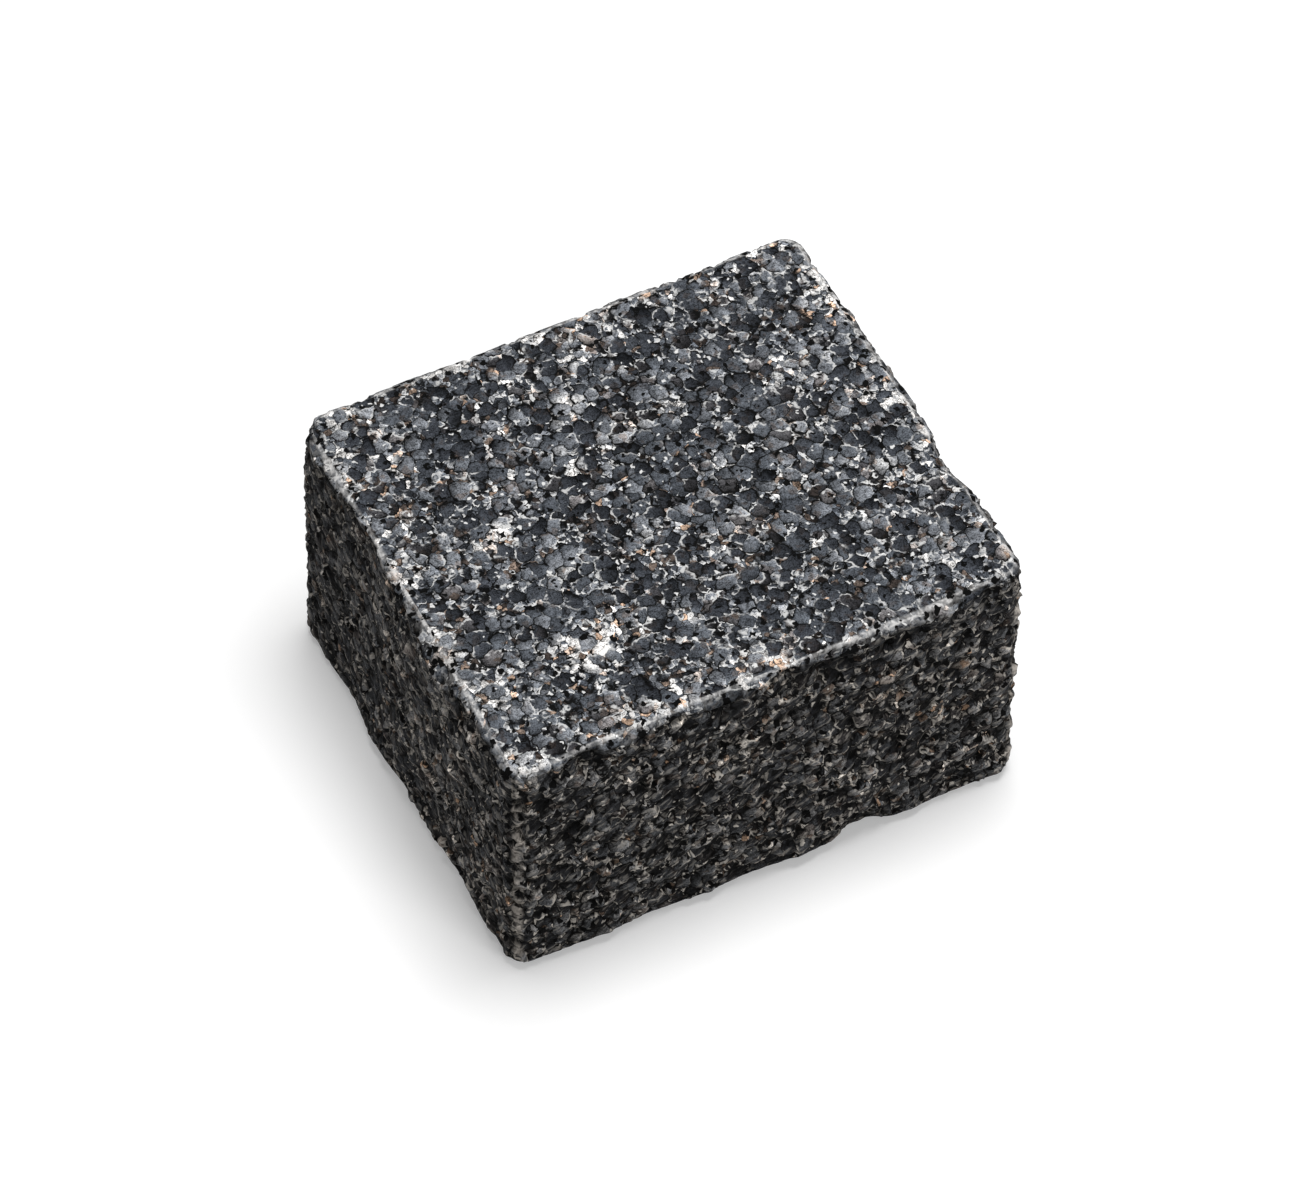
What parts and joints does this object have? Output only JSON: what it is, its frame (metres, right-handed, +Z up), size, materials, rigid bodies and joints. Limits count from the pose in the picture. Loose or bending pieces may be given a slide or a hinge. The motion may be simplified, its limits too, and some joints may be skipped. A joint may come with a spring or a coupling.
{
  "type": "cobblestone",
  "caption": "Squared hand-split granite sett with riven sides, softened arrises and a flat bed, for paving streets, drives and edgings.",
  "frame": {"origin": "middle of the bed, the face that the stone rests on", "axes": "+Z up from bed to head, X along the long sides of the head, Y across them with the front side towards -Y"},
  "size_m": [0.1147, 0.1015, 0.0642],
  "materials": {
    "granite": "matte"
  },
  "bodies": {
    "root": {"sett": "granite"}
  },
  "joints": []
}
